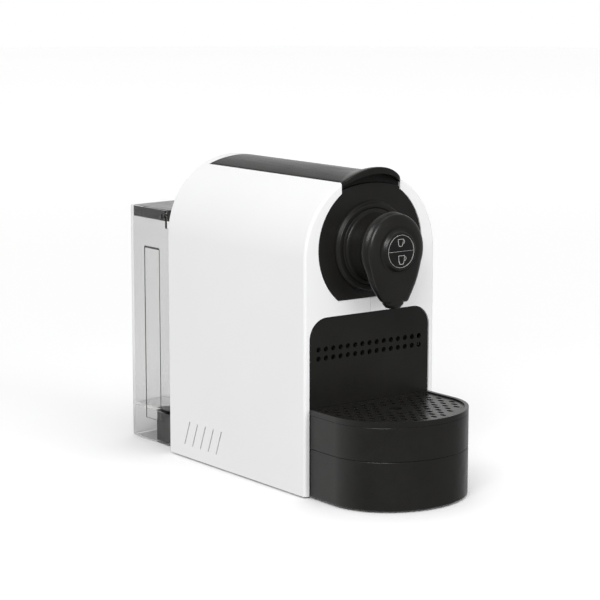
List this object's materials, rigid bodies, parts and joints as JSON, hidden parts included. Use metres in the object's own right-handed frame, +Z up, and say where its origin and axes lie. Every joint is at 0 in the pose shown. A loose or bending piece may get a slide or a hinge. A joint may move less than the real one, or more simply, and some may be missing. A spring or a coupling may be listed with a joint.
{
  "type": "pod coffee machine",
  "caption": "Arched white pod coffee machine with top lever, round push-button head, slide-out drawer with drip tray and a clear rear water tank.",
  "frame": {"origin": "centre of the whole machine's footprint, on the surface it stands on", "axes": "+X across to the machine's right as seen from its front, +Y from the drip tray back to the water tank, +Z up"},
  "size_m": [0.124, 0.3372, 0.244],
  "materials": {
    "white_shell": "satin-gloss white ABS",
    "black_trim": "satin black ABS",
    "lever_black": "smooth dark grey-black plastic",
    "button_black": "deep black with printed cup outlines",
    "ring_grey": "thin light-grey ring",
    "inner_grey": "moulded dark inner plastic",
    "rubber": "matte",
    "steel": "plain steel",
    "group_nylon": "glass-filled nylon",
    "aluminium": "die-cast",
    "coil": "potted coil",
    "electronics": "circuit board and its parts",
    "hose": "milky silicone",
    "tank_clear": "clear moulded plastic",
    "lid_smoke": "smoked translucent plastic"
  },
  "bodies": {
    "machine": {"left_shell": "white_shell", "right_shell": "white_shell", "front_bezel": "black_trim", "head_ring": "black_trim", "knob_barrel": "black_trim", "knob_cover": "black_trim", "spout": "black_trim", "button_ring": "ring_grey", "base_plate": "inner_grey", "top_deck": "inner_grey", "tank_guide": "inner_grey", "tank_dock": "inner_grey", "drawer_rails": "inner_grey", "pod_chute": "inner_grey", "cord_gland": "inner_grey", "pump_bracket": "inner_grey", "feet": "rubber", "dock_seal": "rubber", "head_seal": "rubber", "casing_screws": "steel", "button_springs": "steel", "pierce_plate": "steel", "frame_plate_left": "steel", "frame_plate_right": "steel", "feed_tube": "steel", "hinge_pin": "steel", "dock_inlet": "steel", "pump_core": "steel", "outlet_channel": "group_nylon", "brew_head": "group_nylon", "frame_bars": "group_nylon", "flow_meter": "group_nylon", "thermoblock": "aluminium", "pump_coil": "coil", "button_board": "electronics", "button_switches": "electronics", "control_board": "electronics", "board_parts": "electronics", "thermostat": "electronics", "suction_hose": "hose", "pump_hose": "hose", "riser_hose": "hose", "heater_hose": "hose"},
    "lever": {"lever": "lever_black", "link_pins": "steel"},
    "links": {"link_left": "steel", "link_right": "steel"},
    "cage": {"capsule_cage": "group_nylon", "cage_pins": "steel"},
    "espresso": {"espresso_button": "button_black"},
    "lungo": {"lungo_button": "button_black"},
    "drawer": {"tray_base": "black_trim", "pod_bin": "inner_grey", "splash_plate": "black_trim"},
    "tray": {"drip_tray": "black_trim"},
    "grid": {"drip_grid": "black_trim"},
    "tank": {"water_tank": "tank_clear", "tank_valve": "rubber"},
    "lid": {"tank_lid": "lid_smoke"}
  },
  "joints": [
    {"name": "lever_hinge", "type": "hinge", "parent": "machine", "child": "lever", "pos_m": [0, 0.0656, 0.2245], "axis": [-1, 0, 0], "range_deg": [0, 68]},
    {"name": "link_swing", "type": "hinge", "parent": "lever", "child": "links", "pos_m": [0, 0.0456, 0.2225], "axis": [1, 0, 0], "range_deg": [0, 84]},
    {"name": "cage_slide", "type": "slide", "parent": "machine", "child": "cage", "axis": [0, 1, 0], "range_m": [0, 0.0227]},
    {"name": "espresso_press", "type": "slide", "parent": "machine", "child": "espresso", "axis": [0, 1, 0], "range_m": [0, 0.0012], "stiffness_N_per_m": 600},
    {"name": "lungo_press", "type": "slide", "parent": "machine", "child": "lungo", "axis": [0, 1, 0], "range_m": [0, 0.0012], "stiffness_N_per_m": 600},
    {"name": "drawer_slide", "type": "slide", "parent": "machine", "child": "drawer", "axis": [0, -1, 0], "range_m": [0, 0.095]},
    {"name": "drip_tray_lift", "type": "slide", "parent": "drawer", "child": "tray", "axis": [0, 0, 1], "range_m": [0, 0.06]},
    {"name": "drip_grid_lift", "type": "slide", "parent": "tray", "child": "grid", "axis": [0, 0, 1], "range_m": [0, 0.03]},
    {"name": "tank_lift", "type": "slide", "parent": "machine", "child": "tank", "axis": [0, 0, 1], "range_m": [0, 0.2]},
    {"name": "lid_hinge", "type": "hinge", "parent": "tank", "child": "lid", "pos_m": [0, 0.1166, 0.19], "axis": [1, 0, 0], "range_deg": [0, 95]}
  ],
  "couplings": [
    {"joint": "cage_slide", "follows": "lever_hinge", "m_per_rad": 0.019032},
    {"joint": "link_swing", "follows": "lever_hinge", "ratio": 1.224}
  ]
}
